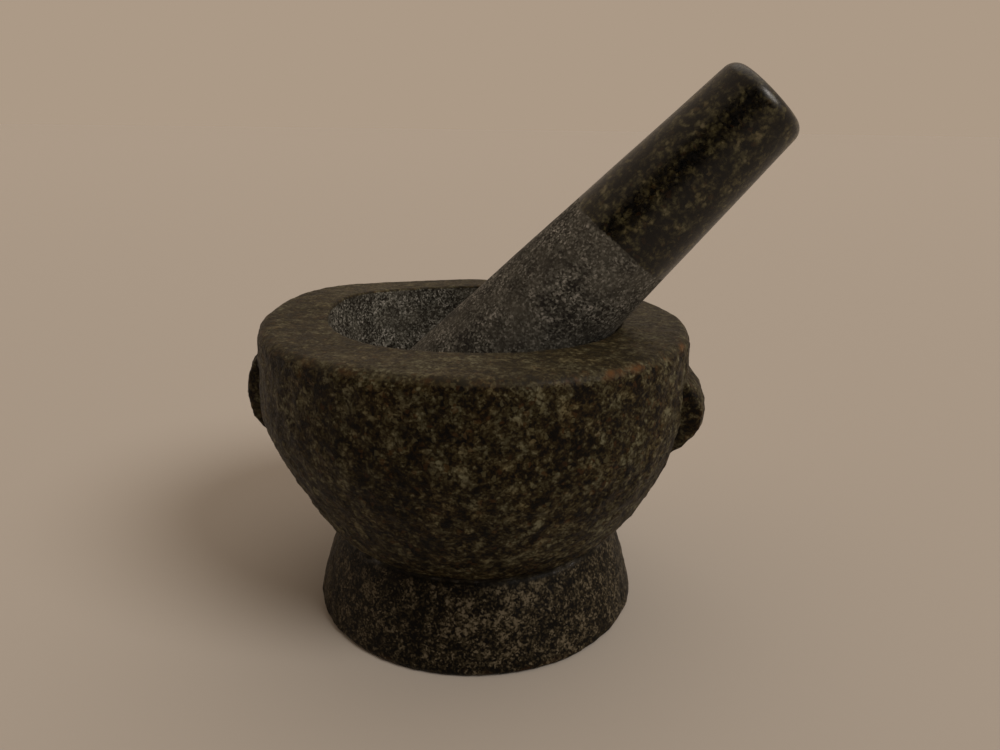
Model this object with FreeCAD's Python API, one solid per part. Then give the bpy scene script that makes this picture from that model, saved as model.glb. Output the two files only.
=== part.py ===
import FreeCAD, Part
import math
import os

# Granite mortar with its pestle leaning in the hollow, in millimetres.
# Origin at the centre of the foot's resting face, +Z up, the two carved lugs on the X axis.
# The mortar is one block of stone: bowl, foot and lugs. The pestle is one turned bar of stone.

V = FreeCAD.Vector

# --- mortar: outside ---
mortar_height = 100.0        # table to the top of the rim
rim_radius = 70.0            # outside of the rim, at its top edge
belly_swell = 0.7            # how far the wall's widest turn stands out past the rim
belly_drop = 23.0            # rim down to that widest turn
rim_outer_round = 4.0        # worn outer edge of the rim
neck_radius = 48.0           # crease between the bowl and the foot
neck_height = 28.4
wall_flare_deg = 50.0        # lean of the wall from upright where it leaves the crease
wall_low_pull = 15.0         # how long the wall holds that lean
wall_high_pull = 14.5        # how long the wall stays upright under the belly
foot_radius = 56.8           # foot at its widest, just above the table
foot_edge_round = 1.8        # ground edge of the foot
foot_swell = 0.7             # how far the foot's side bows out of a straight cone
neck_groove_radius = 0.9     # bottom of the sharp crease

# --- mortar: hollow ---
mouth_radius = 47.4          # hollow at the rim
mouth_edge_round = 1.0       # crisp inner edge of the rim
bowl_depth = 64.0            # rim to the lowest point of the hollow
hollow_draft = 1.5           # how much narrower than the mouth its round bottom is

# --- mortar: the two carved lugs ---
lug_top_drop = 12.6          # rim down to where a lug leaves the wall
lug_height = 27.4            # from there down to where it runs back into the wall
lug_nose_drop = 12.0         # from there down to its furthest point
lug_reach = 6.0              # beyond the belly
lug_sink_top = 0.6           # how deep in the wall its outline starts, at the top
lug_sink_foot = 7.5          # and at the bottom, where the wall has curved in
lug_span_deg = 36.0          # width, as an angle seen from above
lug_edge_round = 2.4         # softened side edges
lug_count = 2

# --- pestle ---
pestle_length = 168.5
grip_end_radius = 14.4       # upper end, before its edge is rounded
grip_end_round = 4.4
ball_radius = 24.4           # working end, a ball that the cone runs into smoothly

# --- how the pestle rests ---
lean_deg = 47.4              # its axis, up from level
lean_turn_deg = -7.4         # its heading seen from above, from +X
seat_gap = 0.25              # air left where stone rests on stone


hollow_ball_radius = mouth_radius - hollow_draft
belly_radius = rim_radius + belly_swell
belly_height = mortar_height - belly_drop


def at(radius, height):
    """A point of an outline drawn in the XZ plane, out from the Z axis."""
    return V(radius, 0, height)


def arc(a, b, c):
    return Part.Arc(a, b, c).toShape()


def line(a, b):
    return Part.LineSegment(a, b).toShape()


def bezier(*points):
    curve = Part.BezierCurve()
    curve.setPoles(list(points))
    return curve.toShape()


def turned(edges, angle=360.0):
    """Solid of revolution about Z from a closed outline."""
    face = Part.Face(Part.Wire(edges))
    return face.revolve(V(0, 0, 0), V(0, 0, 1), angle)


def rounded_corner(centre, radius, start_deg, end_deg):
    """Arc of an outline about centre, from one heading to another."""
    headings = (start_deg, 0.5 * (start_deg + end_deg), end_deg)
    points = []
    for heading in headings:
        turn = math.radians(heading)
        points.append(centre + V(radius * math.cos(turn), 0, radius * math.sin(turn)))
    return points


def hollow_middle_height():
    """Height of the middle of the hollow's round bottom."""
    return mortar_height - bowl_depth + hollow_ball_radius


def hollow_outline():
    """Inner edge of the rim, straight side and round bottom, as edges from the rim to the axis."""
    edge_middle = at(mouth_radius + mouth_edge_round, mortar_height - mouth_edge_round)
    edge = rounded_corner(edge_middle, mouth_edge_round, 90, 180)
    ball_middle = at(0, hollow_middle_height())
    # The side is the tangent from the edge's lower end to the ball.
    out = edge[2] - ball_middle
    away = out.Length
    heading = math.atan2(out.z, out.x) - math.acos(hollow_ball_radius / away)
    touch = ball_middle + V(hollow_ball_radius * math.cos(heading), 0,
                            hollow_ball_radius * math.sin(heading))
    half_way = 0.5 * (heading - 0.5 * math.pi)
    low = ball_middle + V(hollow_ball_radius * math.cos(half_way), 0,
                          hollow_ball_radius * math.sin(half_way))
    bottom = at(0, mortar_height - bowl_depth)
    edges = [arc(*edge), line(edge[2], touch), arc(touch, low, bottom)]
    return edges, edge[0], bottom


def mortar_body():
    """Bowl and foot as one turned block."""
    base_corner = at(foot_radius - foot_edge_round, foot_edge_round)
    base_edge = rounded_corner(base_corner, foot_edge_round, -90, 0)
    groove_middle = at(neck_radius + neck_groove_radius, neck_height)
    groove = rounded_corner(groove_middle, neck_groove_radius, 235, 180 - wall_flare_deg)
    foot_top = groove[0]
    foot_side_middle = at(0.5 * (base_edge[2].x + foot_top.x) + foot_swell,
                          0.5 * (base_edge[2].z + foot_top.z))
    flare = math.radians(wall_flare_deg)
    wall_start = groove[2]
    wall_low = wall_start + V(wall_low_pull * math.sin(flare), 0, wall_low_pull * math.cos(flare))
    wall_high = at(belly_radius, belly_height - wall_high_pull)
    belly = at(belly_radius, belly_height)
    rim_corner = at(rim_radius - rim_outer_round, mortar_height - rim_outer_round)
    rim_edge = rounded_corner(rim_corner, rim_outer_round, 0, 90)
    hollow, rim_inside, bottom = hollow_outline()
    middle = at(0, 0)
    edges = [
        line(middle, base_edge[0]),
        arc(*base_edge),
        arc(base_edge[2], foot_side_middle, foot_top),
        arc(*groove),
        bezier(wall_start, wall_low, wall_high, belly),
        line(belly, rim_edge[0]),
        arc(*rim_edge),
        line(rim_edge[2], rim_inside),
    ]
    edges += hollow
    edges.append(line(bottom, middle))
    return turned(edges)


def lug():
    """One carved lug on +X: a round-nosed shelf, its sides cut square and softened."""
    top_height = mortar_height - lug_top_drop
    foot_height = top_height - lug_height
    root = 0.5 * (mouth_radius + belly_radius)
    nose = at(belly_radius + lug_reach, top_height - lug_nose_drop)
    top = at(belly_radius - lug_sink_top, top_height)
    foot = at(belly_radius - lug_sink_foot, foot_height)
    above = at(nose.x - 0.24 * (nose.x - top.x), nose.z + 0.52 * (top.z - nose.z))
    below = at(nose.x - 0.22 * (nose.x - foot.x), nose.z - 0.62 * (nose.z - foot.z))
    edges = [
        line(at(root, top_height), top),
        arc(top, above, nose),
        arc(nose, below, foot),
        line(foot, at(root, foot_height)),
        line(at(root, foot_height), at(root, top_height)),
    ]
    block = turned(edges, lug_span_deg)
    side_edges = []
    for edge in block.Edges:
        middle = edge.CenterOfMass
        flat_side = edge.BoundBox.ZLength > 3.0
        if flat_side and math.hypot(middle.x, middle.y) > root + 3.0:
            side_edges.append(edge)
    block = block.makeFillet(lug_edge_round, side_edges)
    block.rotate(V(0, 0, 0), V(0, 0, 1), -0.5 * lug_span_deg)
    return block


def mortar():
    body = mortar_body()
    for number in range(lug_count):
        one = lug()
        one.rotate(V(0, 0, 0), V(0, 0, 1), number * 360.0 / lug_count)
        body = body.fuse(one)
    return body.removeSplitter()


def taper():
    """Half angle of the pestle's cone: the line from the grip's end that just touches the ball."""
    top = pestle_length - ball_radius
    away = math.hypot(grip_end_radius, top)
    return math.asin(ball_radius / away) - math.atan2(grip_end_radius, top)


def pestle_upright():
    """Pestle standing on Z with the middle of its ball at the origin."""
    lean_in = taper()
    top = pestle_length - ball_radius
    # Rounded upper edge, tangent to the cone and to the flat end.
    corner_height = top - grip_end_round
    corner_radius = grip_end_radius + grip_end_round * (math.tan(lean_in) - 1 / math.cos(lean_in))
    corner = at(corner_radius, corner_height)
    edge = rounded_corner(corner, grip_end_round, math.degrees(lean_in), 90)
    ball = rounded_corner(at(0, 0), ball_radius, -90, math.degrees(lean_in))
    edges = [
        arc(*ball),
        line(ball[2], edge[0]),
        arc(*edge),
        line(edge[2], at(0, top)),
        line(at(0, top), ball[0]),
    ]
    return turned(edges)


def ball_middle_at_rest():
    """Where the ball's middle sits, in the upright plane of the lean.

    The ball rests in the round bottom, so its middle is a fixed distance from the hollow's middle.
    The cone's underside rests on the inner edge of the rim, which fixes where on that circle.
    """
    underside = math.radians(lean_deg) + taper()
    # Heading straight out of the underside, down and away from the axis.
    out_x = math.sin(underside)
    out_z = -math.cos(underside)
    edge_x = mouth_radius + mouth_edge_round
    edge_z = mortar_height - mouth_edge_round
    middle_z = hollow_middle_height()
    reach = hollow_ball_radius - seat_gap - ball_radius
    to_edge = out_x * edge_x + out_z * (edge_z - middle_z)
    offset = to_edge - mouth_edge_round - seat_gap - ball_radius
    heading = math.atan2(out_z, out_x) - math.acos(offset / reach)
    return reach * math.cos(heading), middle_z + reach * math.sin(heading)


def pestle():
    shape = pestle_upright()
    across, height = ball_middle_at_rest()
    shape.rotate(V(0, 0, 0), V(0, 1, 0), 90.0 - lean_deg)
    shape.translate(V(across, 0, height))
    shape.rotate(V(0, 0, 0), V(0, 0, 1), lean_turn_deg)
    return shape


def write(name, shape):
    solids = shape.Solids
    print(name, len(solids), shape.isValid(), round(shape.Volume), shape.BoundBox)
    solids[0].exportStep("parts/%s.step" % name)


os.makedirs("parts", exist_ok=True)
write("mortar", mortar())
write("pestle", pestle())

# Line of the draw: along the cone's underside, so the pestle keeps its gap to the rim's edge.
draw = math.radians(lean_deg) + taper()
turn = math.radians(lean_turn_deg)
print("draw axis %.5f %.5f %.5f" % (math.cos(draw) * math.cos(turn),
                                    math.cos(draw) * math.sin(turn), math.sin(draw)))
across, height = ball_middle_at_rest()
print("ball middle across %.3f height %.3f" % (across, height))
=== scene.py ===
import math

import bpy
import bmesh
from mathutils import Matrix, Vector


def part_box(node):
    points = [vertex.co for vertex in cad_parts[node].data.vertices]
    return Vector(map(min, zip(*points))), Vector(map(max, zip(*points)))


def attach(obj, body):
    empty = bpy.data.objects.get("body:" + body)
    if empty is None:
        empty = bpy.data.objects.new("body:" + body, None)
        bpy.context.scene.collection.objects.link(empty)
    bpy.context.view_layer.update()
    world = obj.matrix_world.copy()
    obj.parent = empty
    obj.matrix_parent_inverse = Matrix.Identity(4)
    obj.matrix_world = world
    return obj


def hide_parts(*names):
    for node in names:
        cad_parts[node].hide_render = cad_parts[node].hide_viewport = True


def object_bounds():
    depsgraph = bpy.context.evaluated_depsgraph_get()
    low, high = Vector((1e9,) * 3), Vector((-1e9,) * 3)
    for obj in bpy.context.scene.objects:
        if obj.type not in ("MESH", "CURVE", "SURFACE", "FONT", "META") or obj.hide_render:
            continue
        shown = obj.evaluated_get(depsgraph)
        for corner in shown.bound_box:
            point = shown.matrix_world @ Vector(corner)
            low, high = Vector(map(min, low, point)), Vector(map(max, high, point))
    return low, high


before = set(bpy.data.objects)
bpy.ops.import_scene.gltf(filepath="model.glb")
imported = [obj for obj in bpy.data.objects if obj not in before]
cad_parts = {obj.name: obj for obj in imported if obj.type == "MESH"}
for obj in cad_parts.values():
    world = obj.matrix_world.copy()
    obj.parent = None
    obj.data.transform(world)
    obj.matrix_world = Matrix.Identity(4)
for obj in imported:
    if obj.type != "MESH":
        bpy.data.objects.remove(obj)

CAD_BOX = [list(corner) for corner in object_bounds()]
MM = 0.001

# ---------------------------------------------------------------- the stone, in millimetres
# Mortar, outside. Heights run from the table.
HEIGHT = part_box("mortar")[1][2] / MM
RIM_RADIUS = 70.0
BELLY_RADIUS = 70.7
BELLY_HEIGHT = HEIGHT - 23.0
RIM_OUTER_ROUND = 4.0
NECK_RADIUS = 48.0
NECK_HEIGHT = 28.4
NECK_GROOVE = 0.9
WALL_FLARE = math.radians(50.0)
WALL_LOW_PULL = 15.0
WALL_HIGH_PULL = 14.5
FOOT_RADIUS = 56.8
FOOT_EDGE_ROUND = 1.8
FOOT_SWELL = 0.7
# Mortar, hollow.
MOUTH_RADIUS = 47.4
MOUTH_EDGE_ROUND = 1.0
BOWL_DEPTH = 64.0
HOLLOW_BALL = MOUTH_RADIUS - 1.5
# What the mason's hand left uneven. Rim lifts: amount, then heading and spread in degrees.
RIM_LIFTS = ((2.1, 163, 26), (-0.5, 95, 40), (1.2, 268, 48))
MOUTH_WIDER = 1.2
MOUTH_LEFT = 0.8
MOUTH_BACK = 3.0
WALL_FULLER = 1.0        # the left wall, above
WALL_LEANER = 1.5        # the left wall, below
# The two carved lugs. Cut by hand, so each has its own heights: top, nose and foot.
LUG_HEIGHTS = {"right": (HEIGHT - 14.0, HEIGHT - 25.4, HEIGHT - 41.4),
               "left": (HEIGHT - 10.8, HEIGHT - 23.4, HEIGHT - 41.4)}
LUG_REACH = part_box("mortar")[1][0] / MM - BELLY_RADIUS
LUG_HALF_SPAN = math.radians(18.0)
LUG_SIDE = math.radians(2.4)
LUG_CUT_DEPTH = 1.5      # the chisel line round each lug
LUG_CUT_WIDTH = 0.03     # as an angle, in radians
# Pestle.
PESTLE_LENGTH = 168.5
BALL_RADIUS = 24.4
GRIP_END_RADIUS = 14.4
GRIP_END_ROUND = 4.4
POLISH_LINE = 111.0      # polished above this length from the tip, ground stone below
PESTLE_SIDES = 200       # faces round it
LEAN = math.radians(47.4)
LEAN_TURN = math.radians(-7.4)


# ---------------------------------------------------------------- outlines, as (radius, height)
def arc_points(centre, radius, start, end, count):
    """Points of an arc; start and end are headings in degrees."""
    points = []
    for number in range(count):
        heading = math.radians(start + (end - start) * number / (count - 1))
        points.append((centre[0] + radius * math.cos(heading),
                       centre[1] + radius * math.sin(heading)))
    return points


def bezier_points(poles, count):
    points = []
    for number in range(count):
        t = number / (count - 1)
        weights = ((1 - t) ** 3, 3 * (1 - t) ** 2 * t, 3 * (1 - t) * t * t, t ** 3)
        points.append(tuple(sum(w * p[axis] for w, p in zip(weights, poles)) for axis in (0, 1)))
    return points


def line_points(start, end, count):
    return [tuple(start[axis] + (end[axis] - start[axis]) * number / (count - 1) for axis in (0, 1))
            for number in range(count)]


def joined(*runs):
    """Runs of points end to end, without the doubled point where two runs meet."""
    outline = list(runs[0])
    for run in runs[1:]:
        outline += run[1:] if math.dist(run[0], outline[-1]) < 1e-6 else run
    return outline


def mortar_outline():
    """From the middle of the foot's underside, up the outside, over the rim and down the hollow."""
    flare = WALL_FLARE
    base_corner = (FOOT_RADIUS - FOOT_EDGE_ROUND, FOOT_EDGE_ROUND)
    base_edge = arc_points(base_corner, FOOT_EDGE_ROUND, -90, 0, 6)
    groove = arc_points((NECK_RADIUS + NECK_GROOVE, NECK_HEIGHT), NECK_GROOVE, 235,
                        180 - math.degrees(flare), 6)
    foot_side = []
    for radius, height in line_points(base_edge[-1], groove[0], 34):
        along = (height - base_edge[-1][1]) / (groove[0][1] - base_edge[-1][1])
        foot_side.append((radius + FOOT_SWELL * 4 * along * (1 - along), height))
    start = groove[-1]
    wall = bezier_points((start, (start[0] + WALL_LOW_PULL * math.sin(flare),
                                  start[1] + WALL_LOW_PULL * math.cos(flare)),
                          (BELLY_RADIUS, BELLY_HEIGHT - WALL_HIGH_PULL),
                          (BELLY_RADIUS, BELLY_HEIGHT)), 60)
    rim_edge = arc_points((RIM_RADIUS - RIM_OUTER_ROUND, HEIGHT - RIM_OUTER_ROUND), RIM_OUTER_ROUND,
                          0, 90, 9)
    upright = line_points(wall[-1], rim_edge[0], 18)
    mouth_edge = arc_points((MOUTH_RADIUS + MOUTH_EDGE_ROUND, HEIGHT - MOUTH_EDGE_ROUND),
                            MOUTH_EDGE_ROUND, 90, 180, 5)
    rim_top = line_points(rim_edge[-1], mouth_edge[0], 16)
    middle = (0.0, HEIGHT - BOWL_DEPTH + HOLLOW_BALL)
    out = (mouth_edge[-1][0] - middle[0], mouth_edge[-1][1] - middle[1])
    touch = math.atan2(out[1], out[0]) - math.acos(HOLLOW_BALL / math.hypot(*out))
    bottom = arc_points(middle, HOLLOW_BALL, math.degrees(touch), -88.5, 44)
    side = line_points(mouth_edge[-1], bottom[0], 12)
    underside = line_points((1.2, 0.0), base_edge[0], 12)
    return joined(underside, base_edge, foot_side, groove, wall, upright, rim_edge, rim_top,
                  mouth_edge, side, bottom)


def lug_radius(side, height):
    """How far out a lug's outline stands at a height, or None above and below it."""
    top, nose_height, foot = LUG_HEIGHTS[side]
    if not foot < height < top:
        return None
    nose = BELLY_RADIUS + LUG_REACH - 0.05
    if height > nose_height:
        along = (height - nose_height) / (top - nose_height)
        return nose - (nose - BELLY_RADIUS + 0.6) * along ** 2.1
    along = (nose_height - height) / (nose_height - foot)
    return nose - (nose - BELLY_RADIUS + 7.5) * along ** 2.2


def pestle_outline():
    """From the ball's tip to the middle of the grip's end, heights from the ball's middle."""
    top = PESTLE_LENGTH - BALL_RADIUS
    taper = (math.asin(BALL_RADIUS / math.hypot(GRIP_END_RADIUS, top))
             - math.atan2(GRIP_END_RADIUS, top))
    corner_height = top - GRIP_END_ROUND
    corner = (GRIP_END_RADIUS + GRIP_END_ROUND * (math.tan(taper) - 1 / math.cos(taper)),
              corner_height)
    edge = arc_points(corner, GRIP_END_ROUND, math.degrees(taper), 90, 12)
    ball = arc_points((0.0, 0.0), BALL_RADIUS, -88.0, math.degrees(taper), 42)
    return joined(ball, line_points(ball[-1], edge[0], 150), edge,
                  line_points(edge[-1], (0.8, top), 10))


# ---------------------------------------------------------------- meshes
def smoothstep(low, high, value):
    t = min(1.0, max(0.0, (value - low) / (high - low)))
    return t * t * (3 - 2 * t)


def ring_mesh(name, rings):
    """A closed skin over rings of points, the first and last capped to a middle point."""
    mesh = bmesh.new()
    rows = [[mesh.verts.new(point) for point in ring] for ring in rings]
    count = len(rows[0])
    for low, high in zip(rows, rows[1:]):
        for number in range(count):
            after = (number + 1) % count
            mesh.faces.new((low[number], low[after], high[after], high[number]))
    for row, turned in ((rows[0], True), (rows[-1], False)):
        middle = mesh.verts.new(sum((vert.co for vert in row), Vector()) / count)
        for number in range(count):
            first, second = row[number], row[(number + 1) % count]
            mesh.faces.new((second, first, middle) if turned else (first, second, middle))
    bmesh.ops.recalc_face_normals(mesh, faces=mesh.faces)
    data = bpy.data.meshes.new(name)
    mesh.to_mesh(data)
    mesh.free()
    for polygon in data.polygons:
        polygon.use_smooth = True
    piece = bpy.data.objects.new(name, data)
    bpy.context.scene.collection.objects.link(piece)
    return piece


def paint(piece, name, value_at):
    """A number on every vertex, which the material reads."""
    layer = piece.data.attributes.new(name, "FLOAT", "POINT")
    layer.data.foreach_set("value", [value_at(vert.co) for vert in piece.data.vertices])


def mortar_headings():
    """Headings round the mortar, closer together at the sides of the lugs."""
    headings = []
    for side in (0.0, math.pi):
        marks = ((-math.pi / 2, 62), (-LUG_HALF_SPAN - 0.045, 16), (-LUG_HALF_SPAN + 0.05, 36),
                 (LUG_HALF_SPAN - 0.05, 16), (LUG_HALF_SPAN + 0.045, 62), (math.pi / 2, 0))
        for (start, count), (end, _) in zip(marks, marks[1:]):
            headings += [side + start + (end - start) * number / count for number in range(count)]
    return headings


def lug_reach(radius, height, heading):
    """The wall's radius with the lugs standing out of it and a cut line round each."""
    side = "right" if math.cos(heading) > 0 else "left"
    lug = lug_radius(side, height)
    if lug is None or lug <= radius - 1.5:
        return radius
    off = abs((heading + math.pi / 2) % math.pi - math.pi / 2)
    cover = 1 - smoothstep(LUG_HALF_SPAN - LUG_SIDE, LUG_HALF_SPAN, off)
    crown = 1 - 0.12 * (off / LUG_HALF_SPAN) ** 4
    cut = (LUG_CUT_DEPTH * smoothstep(0.0, 4.0, lug - radius)
           * math.exp(-((off - LUG_HALF_SPAN) / LUG_CUT_WIDTH) ** 2))
    return max(radius, radius + (lug - radius) * cover * crown) - cut


def rim_lift(heading, height):
    """How much higher the block runs at a heading, since the mason left the rim uneven."""
    turn = heading % (2 * math.pi)
    lift = 0.0
    for amount, middle, spread in RIM_LIFTS:
        lift += amount * math.exp(-((turn - math.radians(middle)) / math.radians(spread)) ** 2)
    return lift * smoothstep(68.0, HEIGHT - 3.0, height)


def mouth_shift(reach, height, heading):
    """How far the hollow stands off true at a heading, since it was cut by hand."""
    rim = 1 - smoothstep(MOUTH_RADIUS + 6.0, RIM_RADIUS - 5.0, reach)
    depth = smoothstep(HEIGHT - BOWL_DEPTH + 2.0, HEIGHT - 18.0, height)
    return rim * depth * (MOUTH_WIDER - MOUTH_LEFT * math.cos(heading)
                          + MOUTH_BACK * math.sin(heading))


def hand_cut(reach, height, heading):
    """The block as the mason left it: the left wall stands fuller above and leaner below, and the
    hollow is off centre. Returns the radius and the height."""
    left = math.exp(-(heading % (2 * math.pi) - math.pi) ** 2)
    if reach > NECK_RADIUS + 2:
        fuller = smoothstep(58.0, 72.0, height) * (1 - smoothstep(72.5, 76.0, reach))
        leaner = math.exp(-((height - 49.0) / 10.0) ** 2)
        reach += left * (WALL_FULLER * fuller - WALL_LEANER * leaner)
    return reach + mouth_shift(reach, height, heading), height + rim_lift(heading, height)


def as_turned(co):
    """Radius, height and heading of a point as if the block were turned true, in millimetres."""
    heading = math.atan2(co.y, co.x)
    height = co.z / MM - rim_lift(heading, co.z / MM)
    reach = co.xy.length / MM
    return reach - mouth_shift(reach, height, heading), height, heading


def build_mortar():
    outline = mortar_outline()
    headings = mortar_headings()
    rings = []
    on_wall = False
    for radius, height in outline:
        if radius > NECK_RADIUS + 2 and height > NECK_HEIGHT:
            on_wall = True
        outside = on_wall and radius > RIM_RADIUS - RIM_OUTER_ROUND - 16 and height < HEIGHT - 5
        ring = []
        for heading in headings:
            reach = lug_reach(radius, height, heading) if outside else radius
            reach, level = hand_cut(reach, height, heading)
            ring.append((reach * MM * math.cos(heading), reach * MM * math.sin(heading),
                         level * MM))
        rings.append(ring)
    return ring_mesh("mortar_block", rings)


def pestle_place():
    """The pestle's own frame in the object's frame: Z along its length from the ball's middle."""
    low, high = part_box("pestle")
    radius = BALL_RADIUS * MM
    middle = Vector((low[0] + radius, high[1] - radius, low[2] + radius))
    return (Matrix.Translation(middle) @ Matrix.Rotation(LEAN_TURN, 4, "Z")
            @ Matrix.Rotation(math.pi / 2 - LEAN, 4, "Y"))


def build_pestle():
    place = pestle_place()
    rings = []
    for radius, height in pestle_outline():
        ring = []
        for number in range(PESTLE_SIDES):
            heading = 2 * math.pi * number / PESTLE_SIDES
            ring.append(place @ Vector((radius * MM * math.cos(heading),
                                        radius * MM * math.sin(heading), height * MM)))
        rings.append(ring)
    return ring_mesh("pestle_bar", rings)


# ---------------------------------------------------------------- nodes
def linear(hex_colour, alpha=1.0):
    """An sRGB hex colour as the linear numbers that nodes take."""
    channels = [int(hex_colour[start:start + 2], 16) / 255 for start in (1, 3, 5)]
    return tuple(c / 12.92 if c <= 0.04045 else ((c + 0.055) / 1.055) ** 2.4
                 for c in channels) + (alpha,)


def add_node(tree, kind, inputs=None, stops=(), **properties):
    """Adds a node with its properties. An input is a value or the socket that feeds it, and stops
    are a ramp's places and hex colours."""
    node = tree.nodes.new(kind)
    for name, value in properties.items():
        setattr(node, name, value)
    for key, given in (inputs or {}).items():
        if isinstance(given, bpy.types.NodeSocket):
            tree.links.new(given, node.inputs[key])
        else:
            node.inputs[key].default_value = given
    if stops:
        elements = node.color_ramp.elements
        elements.remove(elements[-1])
        for number, (position, hex_colour) in enumerate(stops):
            element = elements[0] if number == 0 else elements.new(position)
            element.position = position
            element.color = linear(hex_colour)
    return node


# ---------------------------------------------------------------- the stone's worked surface
def worked_stone_tree():
    """Geometry Nodes: pushes a turned stone's skin in and out as hand tools leave it."""
    tree = bpy.data.node_groups.new("worked_stone", "GeometryNodeTree")
    face = tree.interface
    face.new_socket("Geometry", in_out="INPUT", socket_type="NodeSocketGeometry")
    for name in ("Hand unevenness", "Unevenness size", "Chisel marks", "Chisel mark size",
                 "Pit depth", "Pit spacing", "Seed"):
        face.new_socket(name, in_out="INPUT", socket_type="NodeSocketFloat")
    face.new_socket("Material", in_out="INPUT", socket_type="NodeSocketMaterial")
    face.new_socket("Geometry", in_out="OUTPUT", socket_type="NodeSocketGeometry")
    given = add_node(tree, "NodeGroupInput").outputs

    place = add_node(tree, "GeometryNodeInputPosition").outputs[0]
    normal = add_node(tree, "GeometryNodeInputNormal").outputs[0]
    rough = add_node(tree, "GeometryNodeInputNamedAttribute", {"Name": "rough"},
                     data_type="FLOAT").outputs[0]
    scale = {}
    for size in ("Unevenness size", "Chisel mark size", "Pit spacing"):
        scale[size] = add_node(tree, "ShaderNodeMath", {0: 1.0, 1: given[size]},
                               operation="DIVIDE").outputs[0]
    uneven = add_node(tree, "ShaderNodeTexNoise",
                      {"Vector": place, "W": given["Seed"], "Scale": scale["Unevenness size"],
                       "Detail": 1.5, "Roughness": 0.4}, noise_dimensions="4D").outputs[0]
    marks = add_node(tree, "ShaderNodeTexNoise",
                     {"Vector": place, "W": given["Seed"], "Scale": scale["Chisel mark size"],
                      "Detail": 3.0, "Roughness": 0.6}, noise_dimensions="4D").outputs[0]
    # A pit sits in the middle of a cell, and only some cells have a deep one.
    cells = add_node(tree, "ShaderNodeTexVoronoi",
                     {"Vector": place, "W": given["Seed"], "Scale": scale["Pit spacing"],
                      "Randomness": 1.0}, voronoi_dimensions="4D", feature="F1").outputs
    dip = add_node(tree, "ShaderNodeMapRange",
                   {"Value": cells["Distance"], "From Min": 0.06, "From Max": 0.26,
                    "To Min": -1.0, "To Max": 0.0}, interpolation_type="SMOOTHSTEP").outputs[0]
    chance = add_node(tree, "ShaderNodeSeparateXYZ", {0: cells["Color"]}).outputs[0]
    some = add_node(tree, "ShaderNodeMapRange",
                    {"Value": chance, "From Min": 0.45, "From Max": 0.95}).outputs[0]

    # How far the skin moves. The unevenness lies inwards, and tool marks show where it is rough.
    value = {"uneven": uneven, "mostly above": 0.72, "marks": marks, "half": 0.5,
             "dip": dip, "some": some, "rough": rough}
    value.update({name: given[name] for name in ("Hand unevenness", "Chisel marks", "Pit depth")})
    for result, first, operation, second in (
            ("inward", "uneven", "SUBTRACT", "mostly above"),
            ("shift", "inward", "MULTIPLY", "Hand unevenness"),
            ("chip", "marks", "SUBTRACT", "half"),
            ("chips", "chip", "MULTIPLY", "Chisel marks"),
            ("pit", "dip", "MULTIPLY", "some"),
            ("pits", "pit", "MULTIPLY", "Pit depth"),
            ("tooling", "chips", "ADD", "pits"),
            ("roughness", "tooling", "MULTIPLY", "rough"),
            ("total", "shift", "ADD", "roughness")):
        value[result] = add_node(tree, "ShaderNodeMath", {0: value[first], 1: value[second]},
                                 operation=operation).outputs[0]
    offset = add_node(tree, "ShaderNodeVectorMath", {0: normal, "Scale": value["total"]},
                      operation="SCALE").outputs[0]
    moved = add_node(tree, "GeometryNodeSetPosition",
                     {"Geometry": given["Geometry"], "Offset": offset}).outputs[0]
    real = add_node(tree, "GeometryNodeRealizeInstances", {"Geometry": moved}).outputs[0]
    dressed = add_node(tree, "GeometryNodeSetMaterial",
                       {"Geometry": real, "Material": given["Material"]}).outputs[0]
    add_node(tree, "NodeGroupOutput", {"Geometry": dressed})
    return tree


def work_surface(piece, tree, material, sizes):
    """Runs the worked-stone nodes on a piece and keeps the result as its plain mesh."""
    modifier = piece.modifiers.new("worked_stone", "NODES")
    modifier.node_group = tree
    for item in tree.interface.items_tree:
        if item.in_out == "INPUT" and item.name in sizes:
            modifier[item.identifier] = sizes[item.name]
        if item.in_out == "INPUT" and item.name == "Material":
            modifier[item.identifier] = material
    depsgraph = bpy.context.evaluated_depsgraph_get()
    worked = bpy.data.meshes.new_from_object(piece.evaluated_get(depsgraph))
    piece.modifiers.remove(modifier)
    old = piece.data
    piece.data = worked
    bpy.data.meshes.remove(old)
    worked.name = piece.name
    low, high = CAD_BOX
    for vert in worked.vertices:
        vert.co = [min(max(value, floor), top) for value, floor, top in zip(vert.co, low, high)]


# ---------------------------------------------------------------- materials
# Mineral colours of the one rock under each finish, black mica first and pale feldspar last.
# Waxed, hammered granite: deep olive, nearly black between the crystals.
WAXED = ((0.10, "#020101"), (0.28, "#0c0702"), (0.42, "#201708"),
         (0.55, "#302a16"), (0.70, "#454130"), (0.90, "#66634e"))
# The foot was left unwaxed: the same crystals, greyer and smaller.
BARE = ((0.10, "#020100"), (0.28, "#070502"), (0.42, "#161007"),
        (0.55, "#272114"), (0.70, "#3d3628"), (0.90, "#5e5545"))
# Ground by the pestle: crushed crystals scatter light, so the rock looks dry and grey.
GROUND = ((0.10, "#110d0b"), (0.32, "#292520"), (0.48, "#3e3c35"),
          (0.62, "#56544d"), (0.78, "#79766d"), (0.94, "#a8a39b"))
POWDER = "#605c52"
# Polished: the surface scatters least, so the colours are deepest.
POLISHED = ((0.12, "#010101"), (0.34, "#080603"), (0.47, "#18140a"),
            (0.58, "#2d2919"), (0.72, "#47432d"), (0.90, "#665f49"))
STRAW_TINT = "#ffdfa8"
RUST = "#573a1d"
PALE_FELDSPAR = "#6b6549"
RIM_BROWN = "#403a2b"
WORN_BROWN = "#67421f"
# Painted shade: a near-black that stands for the shade in the neck's crease and the lugs' cut lines.
CREASE_PAINTED_SHADE = "#0b0905"

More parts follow.
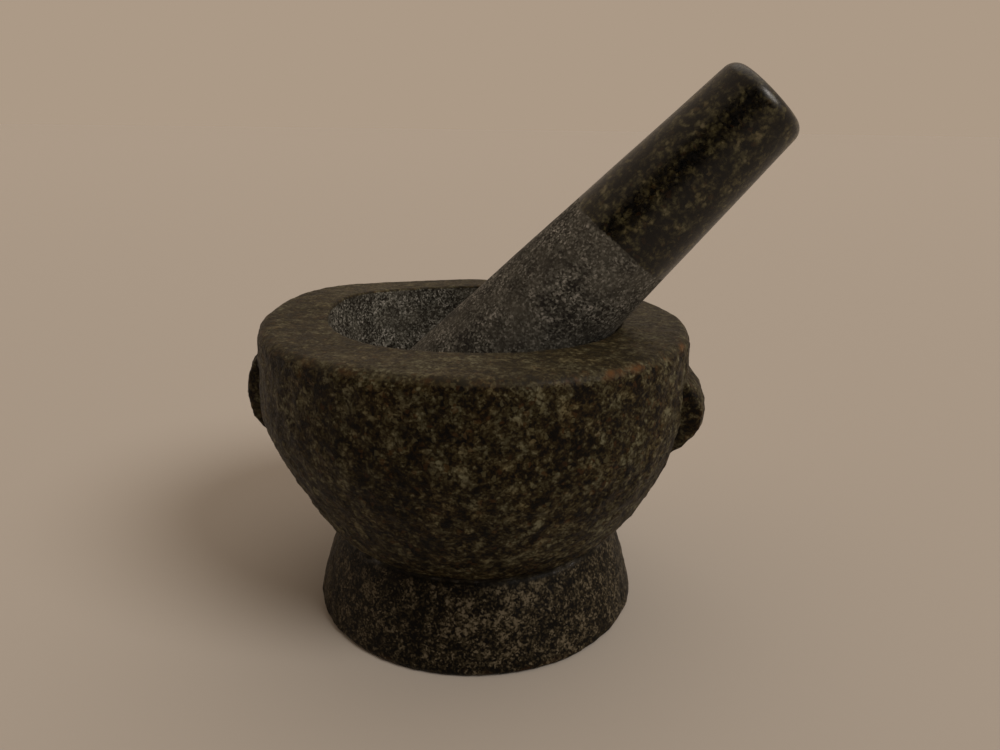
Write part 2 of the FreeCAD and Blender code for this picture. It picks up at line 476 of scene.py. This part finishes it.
CRYSTAL_MM = 1.2
SPECK_MM = 0.6
BEND_MM = 1.1            # how far a crystal's walls are bent
# Cloudy patterns in the rock: the size of their lumps in millimetres, detail and roughness.
CLOUDS = {"bend": (1.9, 2.0, 0.5), "bands": (24.0, 2.0, 0.5), "clots": (4.5, 2.0, 0.5),
          "crumbs": (1.0, 3.0, 0.65), "drifts": (7.0, 2.0, 0.5), "straw": (7.5, 2.0, 0.5),
          "rubbing": (6.0, 3.0, 0.65), "powder": (15.0, 4.0, 0.6), "tooth": (0.8, 4.0, 0.65)}
PAINTED = ("coarse", "fine", "bare", "rim", "worn", "ground", "wax_and_painted_shade", "rough")


def sum_of(tree, parts, offset):
    """offset plus each part times its weight."""
    total = offset
    for value, weight in parts:
        total = add_node(tree, "ShaderNodeMath", {0: value, 1: weight, 2: total},
                         operation="MULTIPLY_ADD").outputs[0]
    return total


def granite(name, waxed, straw_share, sealed_roughness, ground_roughness, gloss, bump_mm):
    """Granite: one rock under several finishes, chosen by attributes on the mesh.

    waxed is the mineral colours of the sealed finish. Attributes: coarse and fine say how strongly
    the big clots and the small crystals show; bare, ground and rim choose the finish; worn is a
    rubbed edge; the crease attribute marks where wax pools glossy and where shade is painted in
    as a darker colour; rough is how strongly the tooth shows.
    """
    material = bpy.data.materials.new(name)
    material.use_nodes = True
    tree = material.node_tree
    tree.nodes.clear()
    place = add_node(tree, "ShaderNodeTexCoord").outputs["Object"]
    painted, cloud = {}, {}
    for attribute in PAINTED:
        painted[attribute] = add_node(tree, "ShaderNodeAttribute",
                                      attribute_name=attribute).outputs["Fac"]
    for pattern, (size_mm, detail, roughness) in CLOUDS.items():
        cloud[pattern] = add_node(tree, "ShaderNodeTexNoise",
                                  {"Vector": place, "Scale": 1 / (size_mm * MM), "Detail": detail,
                                   "Roughness": roughness}).outputs

    # Crystals are not round: a warp bends the walls of the cells.
    bend = add_node(tree, "ShaderNodeVectorMath", {0: cloud["bend"]["Color"], 1: (0.5, 0.5, 0.5)},
                    operation="SUBTRACT").outputs[0]
    warped = add_node(tree, "ShaderNodeVectorMath", {0: bend, 1: (BEND_MM * MM,) * 3, 2: place},
                      operation="MULTIPLY_ADD").outputs[0]
    crystals = add_node(tree, "ShaderNodeTexVoronoi",
                        {"Vector": warped, "Scale": 1 / (CRYSTAL_MM * MM)}).outputs
    crystal = add_node(tree, "ShaderNodeSeparateColor", {0: crystals["Color"]}).outputs
    specks = add_node(tree, "ShaderNodeTexVoronoi",
                      {"Vector": warped, "Scale": 1 / (SPECK_MM * MM)}).outputs
    speck = add_node(tree, "ShaderNodeSeparateColor", {0: specks["Color"]}).outputs
    bent_clots = add_node(tree, "ShaderNodeTexNoise",
                          {"Vector": warped, "Scale": 1 / (2.1 * MM), "Detail": 2.0,
                           "Roughness": 0.6}).outputs[0]
    coarse = sum_of(tree, ((crystal[0], 0.23), (crystals["Distance"], -0.2), (bent_clots, 1.15),
                           (cloud["clots"][0], 0.95), (cloud["bands"][0], 0.4)), -1.29)
    fine = sum_of(tree, ((speck[0], 0.62), (cloud["crumbs"][0], 0.8), (cloud["drifts"][0], 0.6)),
                  -1.01)
    shown = []
    for pattern, attribute in ((coarse, "coarse"), (fine, "fine")):
        part = add_node(tree, "ShaderNodeMath", {0: pattern, 1: painted[attribute]},
                        operation="MULTIPLY").outputs[0]
        shown.append((part, 1.0))
    grain = sum_of(tree, shown, 0.5)
    olive, grey, dry = (add_node(tree, "ShaderNodeValToRGB", {0: grain}, stops=stops).outputs[0]
                        for stops in (waxed, BARE, GROUND))

    # Feldspar runs from olive to straw, and a few crystals are rusted or pale.
    straw = add_node(tree, "ShaderNodeMapRange",
                     {"Value": cloud["straw"][0], "From Min": 0.42, "From Max": 0.66,
                      "To Max": straw_share}).outputs[0]
    warm = add_node(tree, "ShaderNodeMix", {0: 1.0, 6: olive, 7: linear(STRAW_TINT)},
                    data_type="RGBA", blend_type="MULTIPLY").outputs[2]
    rusted, pale = (add_node(tree, "ShaderNodeMapRange",
                             {"Value": channel, "From Min": chance, "From Max": chance + 0.02,
                              "To Max": most * straw_share}).outputs[0]
                    for channel, chance, most in ((crystal[1], 0.95, 0.55),
                                                  (crystal[2], 0.965, 0.7)))
    # The rim's sawn face and its rubbed edge end raggedly, crystal by crystal.
    ragged_rim = sum_of(tree, ((crystal[0], 0.5), (painted["rim"], 1.0)), -0.25)
    rim = add_node(tree, "ShaderNodeMapRange",
                   {"Value": ragged_rim, "From Min": 0.4, "From Max": 0.6,
                    "To Max": 0.3}).outputs[0]
    rubbed_patches = add_node(tree, "ShaderNodeMapRange",
                              {"Value": cloud["rubbing"][0], "From Min": 0.50, "From Max": 0.66,
                               "To Max": 0.8}).outputs[0]
    worn = add_node(tree, "ShaderNodeMath", {0: painted["worn"], 1: rubbed_patches},
                    operation="MULTIPLY").outputs[0]
    # The edge of the ground finish follows the crystals, and its powder lies in patches.
    ragged_edge = sum_of(tree, ((speck[1], 0.4), (painted["ground"], 1.0)), -0.2)
    ground = add_node(tree, "ShaderNodeMapRange",
                      {"Value": ragged_edge, "From Min": 0.42, "From Max": 0.58}).outputs[0]
    powder = add_node(tree, "ShaderNodeMapRange",
                      {"Value": cloud["powder"][0], "From Min": 0.45, "From Max": 0.72,
                       "To Max": 0.55}).outputs[0]
    dusty = add_node(tree, "ShaderNodeMix", {0: powder, 6: dry, 7: linear(POWDER)},
                     data_type="RGBA").outputs[2]
    # Painted shade: the colour darkens towards near-black in the neck's crease and round the lugs.
    crease_shade = add_node(tree, "ShaderNodeMath", {0: painted["wax_and_painted_shade"], 1: 0.8},
                    operation="MULTIPLY").outputs[0]
    colour = olive
    for share, over in ((straw, warm), (rusted, linear(RUST)), (pale, linear(PALE_FELDSPAR)),
                        (painted["bare"], grey), (rim, linear(RIM_BROWN)),
                        (worn, linear(WORN_BROWN)), (ground, dusty), (crease_shade, linear(CREASE_PAINTED_SHADE))):
        colour = add_node(tree, "ShaderNodeMix", {0: share, 6: colour, 7: over},
                          data_type="RGBA").outputs[2]

    # Wax pools glossy in the creases; the ground finish has no wax at all.
    wet = add_node(tree, "ShaderNodeMath", {0: painted["wax_and_painted_shade"], 1: rubbed_patches},
                   operation="MULTIPLY").outputs[0]
    sealed = add_node(tree, "ShaderNodeMapRange",
                      {"Value": speck[2], "To Min": sealed_roughness[0],
                       "To Max": sealed_roughness[1]}).outputs[0]
    roughness = sealed
    for share, over in ((wet, 0.2), (ground, ground_roughness)):
        roughness = add_node(tree, "ShaderNodeMix", {0: share, 2: roughness, 3: over},
                             data_type="FLOAT").outputs[0]
    tooth = sum_of(tree, ((crystal[2], 0.35), (cloud["tooth"][0], 1.0)), 0.0)
    bump = add_node(tree, "ShaderNodeBump",
                    {"Height": tooth, "Strength": painted["rough"],
                     "Distance": bump_mm * MM}).outputs[0]
    shader = add_node(tree, "ShaderNodeBsdfPrincipled",
                      {"Base Color": colour, "Roughness": roughness, "Normal": bump, "IOR": 1.55,
                       "Specular IOR Level": gloss, "Coat Weight": wet, "Coat Roughness": 0.1,
                       "Coat Normal": bump}).outputs[0]
    add_node(tree, "ShaderNodeOutputMaterial", {"Surface": shader})
    return material


# ---------------------------------------------------------------- the object
tree = worked_stone_tree()
# Granite hammered to shape and waxed outside, sawn at the rim, bare at the foot and ground in the
# hollow: a dull dark skin over a dry grey inside.
mortar_stone = granite("waxed_and_hammered_granite", WAXED, straw_share=0.45,
                       sealed_roughness=(0.42, 0.62), ground_roughness=0.9, gloss=0.1, bump_mm=0.2)
# The same granite turned and polished to a dull shine at the grip, and ground dry at the ball.
pestle_stone = granite("polished_and_ground_granite", POLISHED, straw_share=0.25,
                       sealed_roughness=(0.25, 0.4), ground_roughness=0.88, gloss=0.32,
                       bump_mm=0.13)

mortar = build_mortar()


def in_hollow(co):
    """1 inside the hollow, past the mouth's rounded edge."""
    radius, height, _ = as_turned(co)
    if height < HEIGHT - BOWL_DEPTH - 1.0 or radius > MOUTH_RADIUS + 1.6:
        return 0.0
    return 1 - smoothstep(HEIGHT - 1.3, HEIGHT - 0.5, height)


def on_foot(co):
    return 1 - smoothstep(NECK_HEIGHT - 1.0, NECK_HEIGHT + 0.5, co.z / MM)


def on_rim(co):
    return smoothstep(HEIGHT - 3.0, HEIGHT - 1.4, as_turned(co)[1]) * (1 - in_hollow(co))


def by_region(outside, foot, rim, hollow):
    """A value for each finish of the mortar, blended where they meet."""
    def value_at(co):
        value = outside + (foot - outside) * on_foot(co)
        value += (rim - value) * on_rim(co)
        return value + (hollow - value) * in_hollow(co)
    return value_at


def rubbed(co):
    """1 on the corners that hands rub: the rim's outer edge, the foot's edge and the lugs' noses."""
    radius, height, heading = as_turned(co)
    corner = RIM_RADIUS - 0.3 * RIM_OUTER_ROUND, HEIGHT - 0.3 * RIM_OUTER_ROUND
    rim = math.exp(-(math.dist((radius, height), corner) / 1.3) ** 2)
    rim *= 0.3 + 0.7 * math.exp(-((heading + math.radians(35)) / math.radians(28)) ** 2)
    foot = math.exp(-(math.dist((radius, height), (FOOT_RADIUS, 1.2)) / 1.2) ** 2)
    nose = smoothstep(BELLY_RADIUS + 3.0, BELLY_RADIUS + LUG_REACH, radius)
    return max(rim, 0.2 * foot, 0.4 * nose)


def in_crease(co):
    """1 in the neck's crease and the cut line round each lug, where wax pools glossy and shade is
    painted.
    """
    radius, height, heading = as_turned(co)
    neck = 1 - smoothstep(0.6, 2.0, math.dist((radius, height), (NECK_RADIUS + 0.6, NECK_HEIGHT)))
    off = abs((heading + math.pi / 2) % math.pi - math.pi / 2)
    top, _, foot = LUG_HEIGHTS["right" if co.x > 0 else "left"]
    beside = math.exp(-((off - LUG_HALF_SPAN - 0.012) / 0.018) ** 2) if radius > 60 else 0.0
    beside *= smoothstep(foot + 1.0, foot + 8.0, height)
    beside *= 1 - smoothstep(top - 6.0, top - 1.0, height)
    return max(neck, 0.6 * beside)


paint(mortar, "coarse", by_region(0.98, 0.85, 0.95, 0.12))
paint(mortar, "fine", by_region(0.45, 0.95, 0.55, 1.0))
paint(mortar, "bare", by_region(0.0, 1.0, 0.0, 0.0))
paint(mortar, "rim", by_region(0.0, 0.0, 1.0, 0.0))
paint(mortar, "ground", by_region(0.0, 0.0, 0.0, 1.0))
paint(mortar, "rough", by_region(1.0, 0.4, 0.3, 0.5))
paint(mortar, "worn", rubbed)
# The crease mask carries a glossy wax coat and painted shade that darkens the colour.
paint(mortar, "wax_and_painted_shade", in_crease)
work_surface(mortar, tree, mortar_stone,
             {"Hand unevenness": 0.0012, "Unevenness size": 0.024, "Chisel marks": 0.0025,
              "Chisel mark size": 0.0042, "Pit depth": 0.0004, "Pit spacing": 0.0034, "Seed": 3.0})
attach(mortar, "mortar")
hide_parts("mortar")

pestle = build_pestle()
to_pestle = pestle_place().inverted()


def below_polish(co):
    """1 on the ground end, 0 on the polished grip; the line was cut by hand and wanders a little."""
    here = to_pestle @ co
    heading = math.atan2(here.y, here.x)
    line = (POLISH_LINE - BALL_RADIUS + 0.9 * math.sin(heading + 0.8)
            + 0.5 * math.sin(3 * heading)) * MM
    return 1 - smoothstep(line - 0.0006, line + 0.0006, here.z)


paint(pestle, "coarse", lambda co: 0.9 - 0.7 * below_polish(co))
paint(pestle, "fine", lambda co: 0.25 + 0.7 * below_polish(co))
paint(pestle, "ground", below_polish)
paint(pestle, "rough", lambda co: 0.08 + 0.5 * below_polish(co))
for unused in ("bare", "rim", "worn", "wax_and_painted_shade"):     # the material reads them, so they are there
    paint(pestle, unused, lambda co: 0.0)
work_surface(pestle, tree, pestle_stone,
             {"Hand unevenness": 0.0005, "Unevenness size": 0.03, "Chisel marks": 0.0002,
              "Chisel mark size": 0.003, "Pit depth": 0.0003, "Pit spacing": 0.004, "Seed": 11.0})
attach(pestle, "pestle")
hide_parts("pestle")


# ---------------------------------------------------------------- floor, light and camera
def stage_material(name, colour, roughness):
    material = bpy.data.materials.new(name)
    material.use_nodes = True
    shader = material.node_tree.nodes["Principled BSDF"]
    shader.inputs["Base Color"].default_value = linear(colour)
    shader.inputs["Roughness"].default_value = roughness
    shader.inputs["Specular IOR Level"].default_value = 0.1
    return material


def flat_stage(name, points, material):
    data = bpy.data.meshes.new(name)
    data.from_pydata(points, [], [range(len(points))])
    piece = bpy.data.objects.new(name, data)
    bpy.context.scene.collection.objects.link(piece)
    data.materials.append(material)
    return piece


def build_floor():
    radius, corners = 30.0, 128
    points = [(radius * math.cos(2 * math.pi * number / corners),
               radius * math.sin(2 * math.pi * number / corners), 0.0) for number in range(corners)]
    flat_stage("floor", points, stage_material("matt_pale_board", "#bab2a9", 0.8))


def build_black_card():
    """A black card behind the camera: it keeps pale light off the front of the dark stone."""
    corners = [(-1.3, -1.1, 0.15), (0.9, -1.3, 0.15), (0.9, -1.3, 1.6), (-1.3, -1.1, 1.6)]
    card = flat_stage("black_card", corners, stage_material("black_card", "#0a0a0a", 0.9))
    card.visible_camera = False
    card.visible_shadow = False


def add_sun(name, toward, power, colour, spread):
    """A far, even lamp that shines from the direction toward; spread softens its shadows."""
    data = bpy.data.lights.new(name, "SUN")
    data.energy = power
    data.color = linear(colour)[:3]
    data.angle = math.radians(spread)
    lamp = bpy.data.objects.new(name, data)
    lamp.rotation_euler = (-Vector(toward)).to_track_quat("-Z", "Y").to_euler()
    bpy.context.scene.collection.objects.link(lamp)


def add_world(colour, strength):
    world = bpy.data.worlds.new("studio")
    bpy.context.scene.world = world
    world.use_nodes = True
    background = world.node_tree.nodes["Background"]
    background.inputs[0].default_value = linear(colour)
    background.inputs[1].default_value = strength


def add_camera():
    """A phone's main lens, close up and looking down on the rim."""
    data = bpy.data.cameras.new("camera")
    data.sensor_width = 36.0
    data.lens = 27.0
    data.clip_start = 0.01
    camera = bpy.data.objects.new("camera", data)
    turn, yaw, pitch, roll = math.radians(6.0), 0.0323, 0.3212, 0.0133
    swing = Matrix.Rotation(turn, 3, "Z")
    place = swing @ Vector((0.0, -0.24512, 0.16069))
    ahead = swing @ Vector((math.sin(yaw) * math.cos(pitch), math.cos(yaw) * math.cos(pitch),
                            -math.sin(pitch)))
    right = swing @ Vector((math.cos(yaw), -math.sin(yaw), 0.0))
    up = right.cross(ahead)
    across = math.cos(roll) * right + math.sin(roll) * up
    over = -math.sin(roll) * right + math.cos(roll) * up
    turned = Matrix((across, over, -ahead)).transposed()
    camera.matrix_world = Matrix.Translation(place) @ turned.to_4x4()
    bpy.context.scene.collection.objects.link(camera)
    bpy.context.scene.camera = camera


build_floor()
build_black_card()
add_world("#ac9a87", 1.0)
add_sun("key", (0.66, -0.38, 0.72), 1.45, "#fff9f1", 26.0)
add_sun("overhead", (0.2, 0.45, 1.0), 0.36, "#fff9f1", 60.0)
bpy.context.scene.view_settings.view_transform = "Standard"
add_camera()
